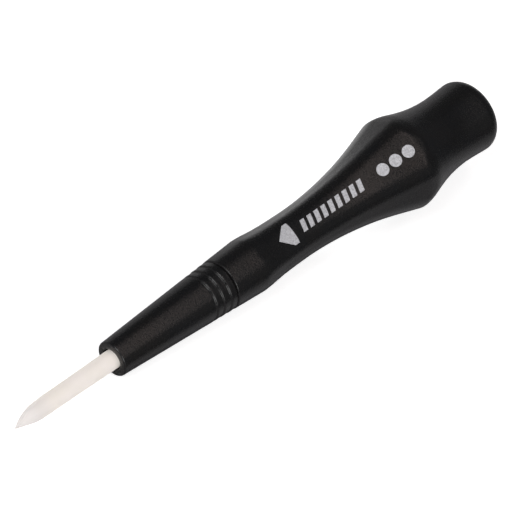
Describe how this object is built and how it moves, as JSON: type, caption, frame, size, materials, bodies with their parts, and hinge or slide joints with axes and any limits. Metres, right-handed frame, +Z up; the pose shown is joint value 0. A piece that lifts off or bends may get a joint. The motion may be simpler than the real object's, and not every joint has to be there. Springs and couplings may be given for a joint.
{
  "type": "spudger",
  "caption": "Spudger hand tool: round pointed ivory blade pressed into a slim black plastic handle with finger rings, a waisted hexagonal grip and a round knob end.",
  "frame": {"origin": "middle of the tool's box in X and Y, on the bench surface that it lies on", "axes": "+X towards the tail and -X towards the blade's tip, +Z up from the bench. The tool's own long axis is pitched up by 4.3 degrees towards the tail, as it lies on its bulge and its nose, with one grip facet down and one up"},
  "size_m": [0.1316, 0.0208, 0.0201],
  "materials": {
    "handle": "satin black, fine spark-eroded grain",
    "blade": "satin ivory, smooth"
  },
  "bodies": {
    "root": {"handle": "handle", "blade": "blade"}
  },
  "joints": []
}
